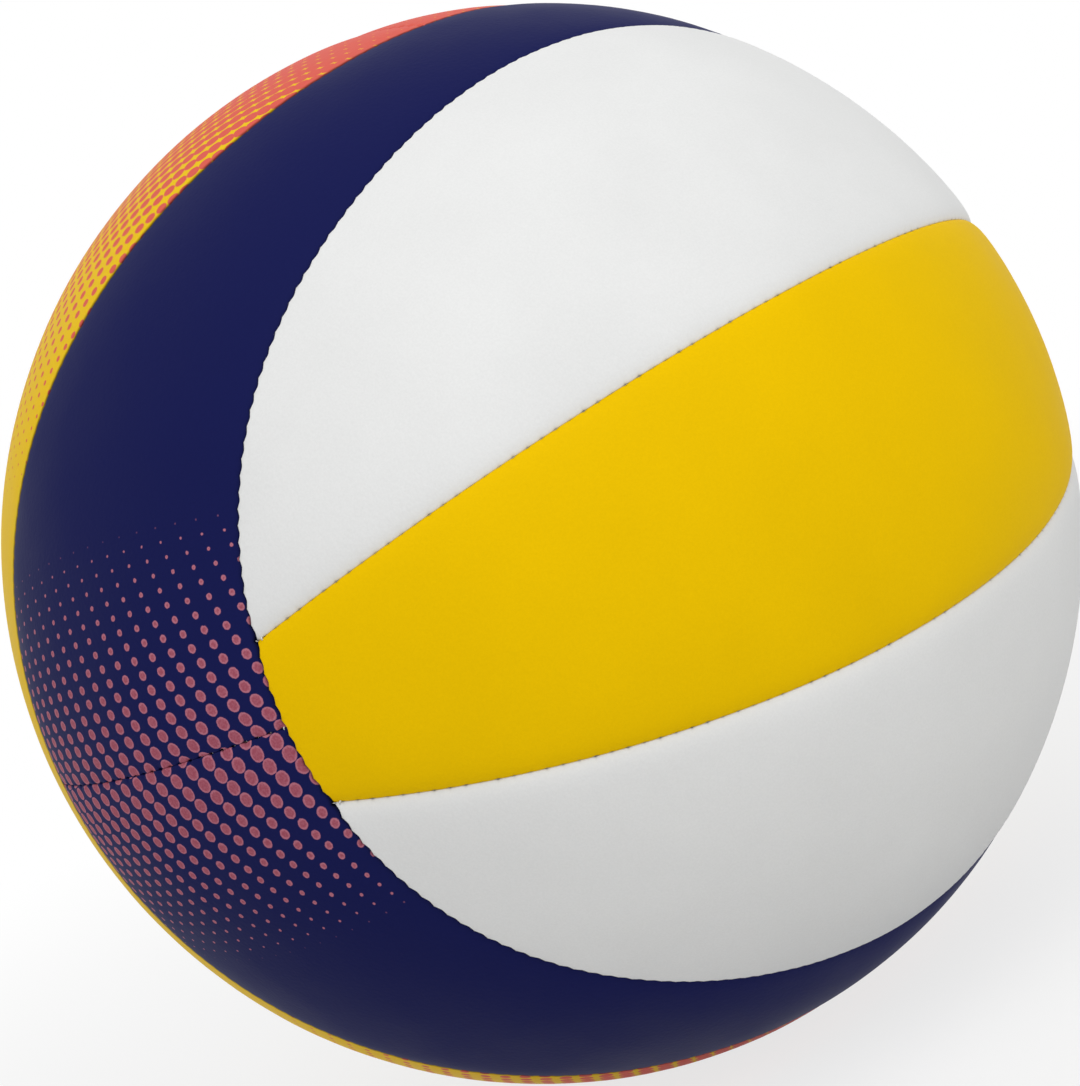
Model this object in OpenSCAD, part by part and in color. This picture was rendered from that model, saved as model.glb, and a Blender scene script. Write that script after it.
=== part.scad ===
// A sewn volleyball of ten panels round an air bladder.
// The front cap is three strips that run along X, with its pole at -Y, and a belt of two panels
// goes round it. The back half is the front half turned half a turn about the line X = Z, so its
// strips run along Z. The origin is the centre of the ball.

/* [Ball] */
// Distance round the inflated ball
circumference = 670; // [650:1:690]

/* [Layers] */
// Thickness of the synthetic leather cover
cover_t = 1; // [0.8:0.1:1.4]
// Thickness of the foam backing
foam_t = 2; // [1.5:0.1:3]
// Thickness of the cloth lining
lining_t = 0.6; // [0.4:0.1:1]
// Thickness of the rubber bladder
bladder_t = 0.8; // [0.6:0.1:1.5]
// Clearance between one layer of a panel and the next
layer_clear = 0.1; // [0.05:0.05:0.2]
// Clearance between the linings and the bladder
bladder_clear = 0.3; // [0.2:0.05:0.4]

/* [Panel pattern] */
// Angle from the cap's pole to its edge along the strips
cap_long_angle = 65.4; // [62:0.1:67]
// Angle from the cap's pole to its edge across the strips
cap_cross_angle = 53.7; // [50:0.1:56]
// How far the cap's corners draw in, as an angle
cap_corner_angle = 0.15; // [0:0.05:0.4]
// How far the cap's long sides flatten, as an angle
cap_flat_angle = 0.22; // [0:0.02:0.5]
// Angle from the cap's pole to the belt's outer edge at the belt's end seams
belt_end_angle = 108.9; // [106:0.1:112]
// How far the belt's outer edge flattens, as an angle
belt_flat_angle = 0.48; // [0:0.02:1]
// Half the angle that the middle strip takes at the pole
strip_mid_angle = 16.85; // [14:0.05:19]
// Half the angle that the middle strip takes at its two ends
strip_end_angle = 8.1; // [7:0.05:10]

/* [Seams] */
// Width of the gap between the turned-in edges of two panels
seam_gap = 0.9; // [0.8:0.05:1.4]
// Radius of the rolled edge of a cover
roll_r = 1.3; // [1:0.1:1.6]
// Diameter of the seam thread
thread_d = 0.6; // [0.4:0.05:0.7]
// Depth of the thread's middle under the surface of the ball
thread_depth = 1.6; // [1.4:0.1:2.4]
// Clearance that a thread leaves to another thread where seams meet
thread_clear = 0.3; // [0.2:0.05:0.6]

/* [Valve] */
// Diameter of the valve's neck, where it shows in the cover
neck_d = 9; // [7:0.5:12]
// Clearance round the neck
neck_clear = 0.15; // [0.1:0.05:0.3]
// Diameter of the valve's flange on the bladder
flange_d = 30; // [24:1:36]
// Thickness of the valve's flange
flange_t = 1; // [0.8:0.1:1.5]
// Diameter of the barrel inside the bladder
barrel_d = 11; // [9:0.5:13]
// Thickness of the barrel's floor, under the core
floor_t = 3.5; // [2:0.25:5]
// Diameter of the patch round the barrel, inside the bladder
patch_d = 26; // [20:1:32]
// Thickness of the patch
patch_t = 0.8; // [0.6:0.1:1.2]
// Diameter of the core that is pushed into the housing
core_d = 5.4; // [4.8:0.2:6]
// Clearance round the core
core_clear = 0.1; // [0.05:0.05:0.2]
// Diameter of the needle channel
needle_d = 2.1; // [2:0.05:2.4]
// Length of the needle channel
needle_len = 12; // [10:0.5:13]
// Width of the dished mouth of the needle channel
mouth_d = 3.4; // [3:0.1:4]
// Thickness of the rubber that closes the channel's inner end
lip_t = 1.5; // [1.2:0.1:2]

/* [Hidden] */

$fn = 96;

// Radii of the layers, from the surface inwards
ball_r = circumference / (2 * PI);
foam_r = ball_r - cover_t - layer_clear;
lining_r = foam_r - foam_t - layer_clear;
// The turned-in edges of the covers end level with the inside of the linings
inside_r = lining_r - lining_t;
bladder_r = inside_r - bladder_clear;
bladder_in_r = bladder_r - bladder_t;
thread_r = ball_r - thread_depth;

// Insets of a panel's layers from the middle of its seams
cover_inset = seam_gap / 2;
pocket_inset = cover_inset + cover_t;
fill_inset = pocket_inset + layer_clear;

// Cutting cones reach this share of the ball's radius, so that their flat ends stay outside it
cone_share = 1.5;
cone_r = ball_r * cone_share;
// How far a cut runs on past the face that it opens
cut_over = cover_t;

// Quarter of a turn and half a turn
quarter = 90;
half = 2 * quarter;

// Stations along half of a cap's edge, between the corners of its middle strip
stations = 44;
// Steps of a rolled edge
roll_steps = 3;
// Sides of a thread that isn't a plain arc
thread_sides = 6;

cap_mean = (cap_long_angle + cap_cross_angle) / 2 - cap_corner_angle;
cap_swing = (cap_long_angle - cap_cross_angle) / 2 + cap_flat_angle;
belt_swing = belt_end_angle - quarter + belt_flat_angle;

// Direction at an angle from the front pole, and round it from +X towards +Z
function toward(polar, round) = [sin(polar) * cos(round), -cos(polar), sin(polar) * sin(round)];

// The cap's edge, and the belt's outer edge, as an angle from the pole
function cap_edge(round) =
    cap_mean + cap_swing * cos(2 * round) + cap_corner_angle * cos(4 * round)
    - cap_flat_angle * cos(6 * round);
function belt_edge(round) =
    quarter + belt_swing * cos(2 * round) - belt_flat_angle * cos(6 * round);

// The corner of the middle strip: where the cap's edge is strip_end_angle above the strip's middle
function corner_round(guess, tries) =
    tries == 0 ? guess
    : corner_round(asin(sin(strip_end_angle) / sin(cap_edge(guess))), tries - 1);
corner_at = corner_round(strip_end_angle, 6);
corner = toward(cap_edge(corner_at), corner_at);

// A strip seam is cut by a plane through both corners and the middle strip's widest point
seam_tilt = atan2(sin(strip_mid_angle) - corner.z, cos(strip_mid_angle) + corner.y);
seam_rise = sin(strip_mid_angle - seam_tilt);

// Rounds of the stations on the upper half of a cap's edge
upper_rounds = concat(
    [0, corner_at / 2],
    [for (i = [0 : stations]) corner_at + (half - 2 * corner_at) * i / stations],
    [half - corner_at / 2, half]
);

function unit(v) = v / norm(v);
function edge_normal(a, b) = unit(cross(a, b));

// A loop of directions drawn in by a distance measured on the ball's surface. The loop runs
// anticlockwise seen from outside.
function drawn_in(loop, inset) =
    let(n = len(loop))
    [for (i = [0 : n - 1])
        let(before = edge_normal(loop[(i + n - 1) % n], loop[i]))
        let(after = edge_normal(loop[i], loop[(i + 1) % n]))
        unit(loop[i] + inset / ball_r * (before + after) / (1 + before * after))];

// Rings of a cutting cone, as [radius, inset]: straight walls, or walls that roll over at the
// surface. The roll ends a little outside the ball, so that the ball's surface cuts its last step.
roll_lift = roll_r * (1 - cos(quarter / roll_steps)) / 2;
function straight_rings(inset) = [[cone_r, inset]];
function rolled_rings(inset) = concat(
    [for (i = [0 : roll_steps])
        let(turn = quarter * i / roll_steps)
        [ball_r + roll_lift - roll_r * (1 - sin(turn)), inset + roll_r * (1 - cos(turn))]],
    [[cone_r, inset + roll_r]]
);

// A cone from the ball's centre through a loop of directions. The flat end is a fan from the
// loop's first point, or rungs between its two halves.
module cone_through(loop, rings, rungs = false) {
    n = len(loop);
    last = (len(rings) - 1) * n + 1;
    points = concat(
        [[0, 0, 0]],
        [for (ring = rings) for (p = drawn_in(loop, ring[1])) ring[0] * p]
    );
    faces = concat(
        [for (i = [0 : n - 1]) [0, 1 + i, 1 + (i + 1) % n]],
        [for (k = [1 : 1 : len(rings) - 1]) for (i = [0 : n - 1])
            let(low = 1 + (k - 1) * n, high = 1 + k * n, j = (i + 1) % n)
            each [[high + i, high + j, low + j], [high + i, low + j, low + i]]],
        rungs
        ? [for (i = [0 : n / 2 - 2])
            each [[last + i, last + n - 1 - i, last + n - 2 - i], [last + i, last + n - 2 - i, last + i + 1]]]
        : [for (i = [1 : n - 2]) [last, last + i + 1, last + i]]
    );
    polyhedron(points, faces);
}

// A closed or open round run of thread through points, with rings square to it
module thread_loop(points) {
    n = len(points);
    rings = [for (i = [0 : n - 1])
        let(out = unit(points[i]))
        let(along = unit(points[(i + 1) % n] - points[(i + n - 1) % n]))
        let(across = cross(along, out))
        for (k = [0 : thread_sides - 1])
            let(a = 2 * half * k / thread_sides)
            points[i] + thread_d / 2 * (cos(a) * out + sin(a) * across)];
    faces = [for (i = [0 : n - 1]) for (k = [0 : thread_sides - 1])
        let(here = i * thread_sides, there = (i + 1) % n * thread_sides, j = (k + 1) % thread_sides)
        each [[here + k, here + j, there + j], [here + k, there + j, there + k]]];
    polyhedron(rings, faces);
}

// An exact arc of thread in the XY plane, from one angle to another
module thread_arc(radius, from, to)
    rotate([0, 0, from])
        rotate_extrude(angle = to - from)
            translate([radius, 0])
                circle(d = thread_d, $fn = 24);

module shell(outer, inner)
    difference() {
        sphere(outer);
        sphere(inner);
    }

// Places in the ball
module back_half() rotate(half, [1, 0, 1]) children();
module turned() rotate([0, half, 0]) children();
module strip_seam_plane() rotate([-seam_tilt, 0, 0]) translate([0, 0, seam_rise * ball_r]) children();
module valve_axis() rotate([-quarter, 0, 0]) children();

// What lies past a strip seam (side 1) or towards the middle of the strip (side -1)
module seam_side(rings, side)
    strip_seam_plane()
        rotate_extrude()
            polygon(concat(
                [[0, side * rings[0][1]]],
                [for (ring = rings) [ring[0], side * ring[1]]],
                [[cone_r, side * cone_r], [0, side * cone_r]]
            ));

pole = toward(0, 0);
upper_edge = [for (round = upper_rounds) toward(cap_edge(round), round)];
upper_belt = [for (round = upper_rounds) toward(belt_edge(round), round)];

// A loop round the middle strip: the cap's edge a little past the strip's corners, joined by
// directions well clear of its sides
clear_angle = 2 * strip_mid_angle;
clear_side = [for (k = [1 : -1 : -1])
    [sin(clear_angle * k) * cos(clear_angle), -cos(clear_angle * k) * cos(clear_angle), sin(clear_angle)]];
end_above = [for (k = [0 : 3]) toward(cap_edge(corner_at * k / 2), corner_at * k / 2)];
end_below = [for (k = [-3 : -1]) toward(cap_edge(corner_at * k / 2), corner_at * k / 2)];
function opposite(loop) = [for (v = loop) [-v.x, v.y, -v.z]];
middle_loop = concat(
    end_above, clear_side, opposite(concat(end_below, end_above, clear_side)), end_below
);

// The three shapes of panel, each with its edges drawn in: the middle strip, a side strip and a
// belt panel
module panel_zone(panel, rings) {
    if (panel == "middle")
        intersection() {
            cone_through(middle_loop, rings, true);
            seam_side(rings, -1);
            turned() seam_side(rings, -1);
        }
    if (panel == "side")
        intersection() {
            cone_through(concat([pole], upper_edge), rings);
            seam_side(rings, 1);
        }
    if (panel == "belt")
        cone_through(
            concat([for (i = [len(upper_edge) - 1 : -1 : 0]) upper_edge[i]], upper_belt), rings, true
        );
}

// The layers of a panel. The cover is a tray: its edges turn in and hold the foam and the lining.
module cover(panel)
    difference() {
        intersection() {
            shell(ball_r, inside_r);
            panel_zone(panel, rolled_rings(cover_inset));
        }
        intersection() {
            sphere(ball_r - cover_t);
            panel_zone(panel, straight_rings(pocket_inset));
        }
    }

module foam(panel)
    intersection() {
        shell(foam_r, foam_r - foam_t);
        panel_zone(panel, straight_rings(fill_inset));
    }

module lining(panel)
    intersection() {
        shell(lining_r, inside_r);
        panel_zone(panel, straight_rings(fill_inset));
    }

// The hole for the valve's neck, through everything that it passes
module neck_hole()
    valve_axis()
        cylinder(d = neck_d + 2 * neck_clear, h = cone_r);

// Seam threads
// How far a thread's end stops short of the middle of the seam that it meets. A strip seam comes
// to the cap's edge aslant, so that the rim of its thread's end is nearer than the end's middle.
end_stop = thread_d / 2 + thread_clear;
strip_way = cross([0, sin(seam_tilt), cos(seam_tilt)], corner);
edge_way = upper_edge[3] - upper_edge[2];
meet_angle = asin(norm(cross(unit(strip_way), unit(edge_way))));
strip_stop = (end_stop + thread_d / 2 * cos(meet_angle)) / sin(meet_angle);
strip_arc_r = sqrt(pow(thread_r, 2) - pow(seam_rise * ball_r, 2));
strip_arc_half =
    atan2(corner.x, corner.z * sin(seam_tilt) - corner.y * cos(seam_tilt))
    - strip_stop / strip_arc_r * half / PI;
end_arc_stop = end_stop / thread_r * half / PI;

module strip_thread()
    strip_seam_plane()
        thread_arc(strip_arc_r, -quarter - strip_arc_half, -quarter + strip_arc_half);

module end_thread()
    thread_arc(thread_r, cap_edge(0) - quarter + end_arc_stop, belt_edge(0) - quarter - end_arc_stop);

module cap_thread()
    thread_loop(thread_r * concat(
        [for (i = [0 : len(upper_edge) - 2]) upper_edge[i]],
        [for (i = [0 : len(upper_edge) - 2]) opposite(upper_edge)[i]]
    ));

module halves_thread()
    thread_loop(thread_r * concat(
        [for (i = [0 : len(upper_belt) - 2]) upper_belt[i]],
        [for (i = [0 : len(upper_belt) - 2]) opposite(upper_belt)[i]]
    ));

// The valve, along +Z from the ball's centre. The patch lies inside the bladder, with the flange
// of the housing under it, and the neck comes out level with the cover.
patch_r = bladder_in_r - layer_clear;
flange_r = patch_r - patch_t - layer_clear;
neck_top = ball_r - layer_clear;
mouth_depth = (mouth_d - needle_d) / 2;
core_len = needle_len + lip_t + mouth_depth;
core_end = neck_top - core_len;
pocket_end = core_end - core_clear;
barrel_end = pocket_end - floor_t;

module valve_patch_solid()
    difference() {
        intersection() {
            shell(patch_r, patch_r - patch_t);
            cylinder(d = patch_d, h = ball_r);
        }
        cylinder(d = neck_d + 2 * neck_clear, h = ball_r);
    }

module valve_housing_solid()
    difference() {
        union() {
            intersection() {
                sphere(neck_top);
                translate([0, 0, flange_r - flange_t])
                    cylinder(d = neck_d, h = ball_r);
            }
            intersection() {
                shell(flange_r, flange_r - flange_t);
                cylinder(d = flange_d, h = ball_r);
            }
            intersection() {
                sphere(flange_r);
                translate([0, 0, barrel_end])
                    cylinder(d = barrel_d, h = ball_r);
            }
        }
        translate([0, 0, pocket_end])
            cylinder(d = core_d + 2 * core_clear, h = ball_r);
        translate([0, 0, barrel_end - cut_over])
            cylinder(d = needle_d, h = ball_r);
    }

module valve_core_solid()
    difference() {
        intersection() {
            sphere(neck_top);
            translate([0, 0, core_end])
                cylinder(d = core_d, h = core_len);
        }
        translate([0, 0, core_end + lip_t])
            cylinder(d = needle_d, h = core_len);
        translate([0, 0, neck_top - mouth_depth])
            cylinder(d1 = needle_d, d2 = mouth_d + 2 * cut_over, h = mouth_depth + cut_over);
    }

// The ten covers
white = [0.93, 0.93, 0.92];
yellow = [0.91, 0.77, 0.04];
navy = [0.12, 0.12, 0.33];
coral = [0.88, 0.44, 0.41];
module cover_front_middle() color(yellow) cover("middle");
module cover_front_upper() color(white) cover("side");
module cover_front_lower() color(white) turned() cover("side");
module cover_front_belt_upper() color(navy) cover("belt");
module cover_front_belt_lower() color(navy) turned() cover("belt");
module cover_back_middle()
    color(yellow)
        difference() {
            back_half() cover("middle");
            neck_hole();
        }
module cover_back_right() color(white) back_half() cover("side");
module cover_back_left() color(white) back_half() turned() cover("side");
module cover_back_belt_right() color(coral) back_half() cover("belt");
module cover_back_belt_left() color(coral) back_half() turned() cover("belt");

// The foam backings
foam_grey = [0.85, 0.85, 0.82];
module foam_front_middle() color(foam_grey) foam("middle");
module foam_front_upper() color(foam_grey) foam("side");
module foam_front_lower() color(foam_grey) turned() foam("side");
module foam_front_belt_upper() color(foam_grey) foam("belt");
module foam_front_belt_lower() color(foam_grey) turned() foam("belt");
module foam_back_middle()
    color(foam_grey)
        difference() {
            back_half() foam("middle");
            neck_hole();
        }
module foam_back_right() color(foam_grey) back_half() foam("side");
module foam_back_left() color(foam_grey) back_half() turned() foam("side");
module foam_back_belt_right() color(foam_grey) back_half() foam("belt");
module foam_back_belt_left() color(foam_grey) back_half() turned() foam("belt");

// The cloth linings
cloth = [0.8, 0.76, 0.68];
module lining_front_middle() color(cloth) lining("middle");
module lining_front_upper() color(cloth) lining("side");
module lining_front_lower() color(cloth) turned() lining("side");
module lining_front_belt_upper() color(cloth) lining("belt");
module lining_front_belt_lower() color(cloth) turned() lining("belt");
module lining_back_middle()
    color(cloth)
        difference() {
            back_half() lining("middle");
            neck_hole();
        }
module lining_back_right() color(cloth) back_half() lining("side");
module lining_back_left() color(cloth) back_half() turned() lining("side");
module lining_back_belt_right() color(cloth) back_half() lining("belt");
module lining_back_belt_left() color(cloth) back_half() turned() lining("belt");

// The seam threads
thread_white = [0.9, 0.9, 0.88];
thread_navy = [0.15, 0.15, 0.38];
module thread_front_strip_upper() color(thread_white) strip_thread();
module thread_front_strip_lower() color(thread_white) turned() strip_thread();
module thread_front_cap() color(thread_navy) cap_thread();
module thread_front_end_right() color(thread_navy) end_thread();
module thread_front_end_left() color(thread_navy) turned() end_thread();
module thread_back_strip_right() color(thread_white) back_half() strip_thread();
module thread_back_strip_left() color(thread_white) back_half() turned() strip_thread();
module thread_back_cap() color(thread_white) back_half() cap_thread();
module thread_back_end_upper() color(thread_white) back_half() end_thread();
module thread_back_end_lower() color(thread_white) back_half() turned() end_thread();
module thread_halves() color(thread_navy) halves_thread();

// The bladder and the valve
rubber = [0.13, 0.13, 0.14];
module bladder()
    color(rubber)
        difference() {
            shell(bladder_r, bladder_in_r);
            neck_hole();
        }
module valve_patch() color(rubber) valve_axis() valve_patch_solid();
module valve_housing() color(rubber) valve_axis() valve_housing_solid();
module valve_core() color([0.25, 0.25, 0.27]) valve_axis() valve_core_solid();

cover_front_middle();
cover_front_upper();
cover_front_lower();
cover_front_belt_upper();
cover_front_belt_lower();
cover_back_middle();
cover_back_right();
cover_back_left();
cover_back_belt_right();
cover_back_belt_left();
foam_front_middle();
foam_front_upper();
foam_front_lower();
foam_front_belt_upper();
foam_front_belt_lower();
foam_back_middle();
foam_back_right();
foam_back_left();
foam_back_belt_right();
foam_back_belt_left();
lining_front_middle();
lining_front_upper();
lining_front_lower();
lining_front_belt_upper();
lining_front_belt_lower();
lining_back_middle();
lining_back_right();
lining_back_left();
lining_back_belt_right();
lining_back_belt_left();
thread_front_strip_upper();
thread_front_strip_lower();
thread_front_cap();
thread_front_end_right();
thread_front_end_left();
thread_back_strip_right();
thread_back_strip_left();
thread_back_cap();
thread_back_end_upper();
thread_back_end_lower();
thread_halves();
bladder();
valve_patch();
valve_housing();
valve_core();
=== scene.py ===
import math

import bpy
import numpy as np
from mathutils import Matrix, Vector
from mathutils.geometry import delaunay_2d_cdt
from mathutils.kdtree import KDTree


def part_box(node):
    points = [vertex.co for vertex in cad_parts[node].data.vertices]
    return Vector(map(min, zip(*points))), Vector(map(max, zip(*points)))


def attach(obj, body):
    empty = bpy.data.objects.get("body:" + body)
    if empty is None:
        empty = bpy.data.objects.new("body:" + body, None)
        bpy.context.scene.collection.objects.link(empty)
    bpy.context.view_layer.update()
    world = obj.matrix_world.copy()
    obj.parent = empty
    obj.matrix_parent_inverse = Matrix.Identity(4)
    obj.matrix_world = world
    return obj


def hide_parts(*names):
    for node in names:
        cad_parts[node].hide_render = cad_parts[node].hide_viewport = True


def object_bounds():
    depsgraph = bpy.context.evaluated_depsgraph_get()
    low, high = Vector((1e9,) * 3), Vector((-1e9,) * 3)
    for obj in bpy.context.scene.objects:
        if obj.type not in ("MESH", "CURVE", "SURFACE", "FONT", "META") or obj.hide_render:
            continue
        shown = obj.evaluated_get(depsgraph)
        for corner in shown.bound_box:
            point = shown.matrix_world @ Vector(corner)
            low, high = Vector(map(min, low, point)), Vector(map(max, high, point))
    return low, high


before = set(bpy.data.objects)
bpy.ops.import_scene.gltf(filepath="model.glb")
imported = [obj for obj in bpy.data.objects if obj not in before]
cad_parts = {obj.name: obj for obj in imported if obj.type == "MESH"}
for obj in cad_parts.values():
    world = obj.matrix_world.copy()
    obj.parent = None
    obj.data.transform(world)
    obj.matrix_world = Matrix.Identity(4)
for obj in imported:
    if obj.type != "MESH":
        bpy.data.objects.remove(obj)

# The ten covers: three strips and a belt of two on each half of the ball. Each is soft synthetic
# leather 1 mm thick, cut as its own piece. The edges are rolled in and sewn together from inside,
# and the air behind them keeps them full.
# Sizes are in metres and the angles of the seams in degrees. The solids' box gives the radius.
MM = 0.001
CAD_BOX = [[float(v) for v in corner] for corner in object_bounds()]
BALL_R = max(CAD_BOX[1])
CAP_LONG_ANGLE = 65.4
CAP_CROSS_ANGLE = 53.7
CAP_CORNER_ANGLE = 0.15
CAP_FLAT_ANGLE = 0.22
BELT_END_ANGLE = 108.9
BELT_FLAT_ANGLE = 0.48
STRIP_MID_ANGLE = 16.85
STRIP_END_ANGLE = 8.1
COVER_T = 1.0 * MM
NECK_D = 9.0 * MM
NECK_CLEAR = 0.15 * MM
CORNER_ROUNDS = 12

# The seams, as curves on a ball of radius one.
# The front cap's pole is at -Y, and an angle round it runs from +X towards +Z.
CAP_MEAN = (CAP_LONG_ANGLE + CAP_CROSS_ANGLE) / 2 - CAP_CORNER_ANGLE
CAP_SWING = (CAP_LONG_ANGLE - CAP_CROSS_ANGLE) / 2 + CAP_FLAT_ANGLE
BELT_SWING = BELT_END_ANGLE - 90 + BELT_FLAT_ANGLE


def sind(angle):
    return np.sin(np.radians(angle))


def cosd(angle):
    return np.cos(np.radians(angle))


def toward(polar, turn):
    """Points at an angle from the front pole and an angle round it."""
    out = sind(polar)
    return np.stack([out * cosd(turn), -cosd(polar) + 0 * turn, out * sind(turn)], -1)


def cap_edge(turn):
    """Angle from the pole to the edge of the cap."""
    waves = CAP_SWING * cosd(2 * turn) + CAP_CORNER_ANGLE * cosd(4 * turn)
    return CAP_MEAN + waves - CAP_FLAT_ANGLE * cosd(6 * turn)


def belt_edge(turn):
    """Angle from the pole to the outer edge of the belt."""
    return 90 + BELT_SWING * cosd(2 * turn) - BELT_FLAT_ANGLE * cosd(6 * turn)


# A strip seam meets the cap's edge at this angle round the pole, which each round brings nearer.
CORNER_AT = STRIP_END_ANGLE
for _ in range(CORNER_ROUNDS):
    CORNER_AT = float(np.degrees(np.arcsin(sind(STRIP_END_ANGLE) / sind(cap_edge(CORNER_AT)))))
CORNER = toward(cap_edge(CORNER_AT), np.array(CORNER_AT))
SEAM_TILT = math.degrees(
    math.atan2(sind(STRIP_MID_ANGLE) - CORNER[2], cosd(STRIP_MID_ANGLE) + CORNER[1])
)
SEAM_RISE = float(sind(STRIP_MID_ANGLE - SEAM_TILT))
STRIP_R = math.sqrt(1 - SEAM_RISE**2)
STRIP_HALF = math.degrees(math.asin(CORNER[0] / STRIP_R))


def cap_curve(turn):
    return toward(cap_edge(turn), turn)


def belt_curve(turn):
    return toward(belt_edge(turn), turn)


def end_curve(polar):
    """The belt's end seam at +X."""
    return toward(polar, 0 * polar)


def strip_curve(sweep):
    """The upper strip seam, a small circle, by the angle from its middle towards +X."""
    across = STRIP_R * sind(sweep)
    ahead = STRIP_R * cosd(sweep)
    y = SEAM_RISE * sind(SEAM_TILT) - ahead * cosd(SEAM_TILT)
    z = SEAM_RISE * cosd(SEAM_TILT) + ahead * sind(SEAM_TILT)
    return np.stack([across, y + 0 * across, z + 0 * across], -1)


def half_turned(points):
    """Turned half a turn about Y, which takes an upper panel to the lower one."""
    return points * np.array([-1.0, 1.0, -1.0])


def to_back(points):
    """Turned half a turn about the line X = Z, which takes the front half to the back."""
    return points[..., [2, 1, 0]] * np.array([1.0, -1.0, 1.0])


def same(points):
    return points


# Seams are sewn at an even pitch. Each seam's steps are eight to a stitch, and the phase counts
# stitches along it, with a needle hole at every half.
STITCH_PITCH = 2.75 * MM
STITCH_STEPS = 8
SEAM_SAMPLES = 6001
SAME_PLACE = 1e-6


def stepped(curve, low, high, even=False):
    """Parameters at even steps along a seam, with the stitch phase at each."""
    dense = np.linspace(low, high, SEAM_SAMPLES)
    lengths = np.linalg.norm(np.diff(curve(dense), axis=0), axis=1) * BALL_R
    run = np.concatenate([[0.0], np.cumsum(lengths)])
    share = 2 if even else 1
    stitches = share * round(run[-1] / share / STITCH_PITCH)
    count = stitches * STITCH_STEPS + 1
    return np.interp(np.linspace(0, run[-1], count), run, dense), np.arange(count) / STITCH_STEPS


def mirrored(steps):
    """The same steps carried on past their start, on its other side."""
    return [np.concatenate([-run[:0:-1], run]) for run in steps]


def carried_on(steps):
    """The same steps once more past their end."""
    return [np.concatenate([run, run[1:] + (run[-1] - run[0])]) for run in steps]


CAP_STEPS = mirrored(stepped(cap_curve, 0.0, 180.0))
BELT_STEPS = stepped(belt_curve, 0.0, 180.0, even=True)
END_STEPS = stepped(end_curve, float(cap_edge(0.0)), float(belt_edge(0.0)))
STRIP_STEPS = mirrored(stepped(strip_curve, 0.0, STRIP_HALF))


def side_of(curve, steps, low, high, lean, mark):
    """One side of a panel from low to high: points, phases, how stitches pull it, seam number."""
    values, phases = steps
    start, stop = min(low, high), max(low, high)
    inner = values[(values > start + SAME_PLACE) & (values < stop - SAME_PLACE)]
    chosen = np.concatenate([[start], inner, [stop]])
    if low > high:
        chosen = chosen[::-1]
    return curve(chosen), np.interp(chosen, values, phases), lean, mark


def moved(turn, side):
    return (turn(side[0]),) + side[1:]


# Each cover rounds down to its seams, where its edge is rolled in and each stitch pulls a small
# notch into it. The belts give way to the caps a little at each stitch. A dark line of painted
# shade lies along the covers' edges, darkest on the belts, with painted shade at each needle hole.
# Each REACH is how far its effect carries from the seam, and SEAM_PULLS and SEAM_ROLLS go by the
# seam's mark. HOLE_RINGS and MERGE_WITHIN are in millimetres.
HALF_GAP = 0.012 * MM
ROLL_R = 0.36 * MM
NOTCH = 0.12 * MM
PUCKER = 0.3 * MM
PUCKER_REACH = 0.45 * MM
LEAN = 0.55 * MM
LEAN_REACH = 1.0 * MM
EDGE_SHADE = 0.04
EDGE_SHADE_REACH = 0.16 * MM
BELT_SHADE = 0.75
BELT_SHADE_REACH = 0.52 * MM
HOLE_SHADE = 0.85
HOLE_REACH = 0.12 * MM
DARKEST = 0.9
SAG = 0.4 * MM
SAG_REACH = 4.5 * MM
STRIP_CROWN = 0.75 * MM
STRIP_CROWN_REACH = 1.35 * MM
BELT_DIP = 0.3 * MM
BELT_DIP_REACH = 3.0 * MM
SKIRT_DEPTH = 1.9 * MM
FOOT_LEAN = 0.6
FOOT_GAP = 0.01 * MM
ROLL_ANGLES = (0, 20, 38, 55, 72, 90)
ROW_STEPS = [(ROLL_R * (1 - math.cos(math.radians(a))), 1) for a in ROLL_ANGLES]
ROW_STEPS += [(0.72 * MM, 1), (1.1 * MM, 2), (1.7 * MM, 2)]
ROW_STEPS += [(2.6 * MM, 4), (3.9 * MM, 4), (5.8 * MM, 8)]
FIELD_STEP = 3.0 * MM
FIELD_CLEAR = 0.6 * FIELD_STEP
FIELD_ROW = 0.87
INNER_STEP = 6.0 * MM
INNER_CLEAR = 0.5 * INNER_STEP
INNER_EDGE = 1.6 * MM
INNER_EVERY = 4
ROUND_STEPS = 96
HOLE_ROLL = 0.35 * MM
HOLE_RINGS = (0, 0.04, 0.12, 0.22, 0.35, 0.7, 1.3, 2.2)
OFFSET_SHARE = 0.985
NEAR_COUNT = 5
FILL_INSIDE = 1
MERGE_WITHIN = 1e-5
CAP_MARK, BELT_MARK, END_MARK, STRIP_MARK = 1, 2, 3, 4
SEAM_PULLS = np.array([0.0, 0.6, 0.5, 1.2, 0.35])
SEAM_ROLLS = np.array([0.0, 0.2, 0.24, 0.17, 0.09]) * MM
TENSION_SEED = (12.9898, 78.233, 43758.5453)
TENSION_LEAST = 0.75
TENSION_SPREAD = 0.5


def unit(vectors):
    return vectors / np.linalg.norm(vectors, axis=-1)[..., None]


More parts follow.
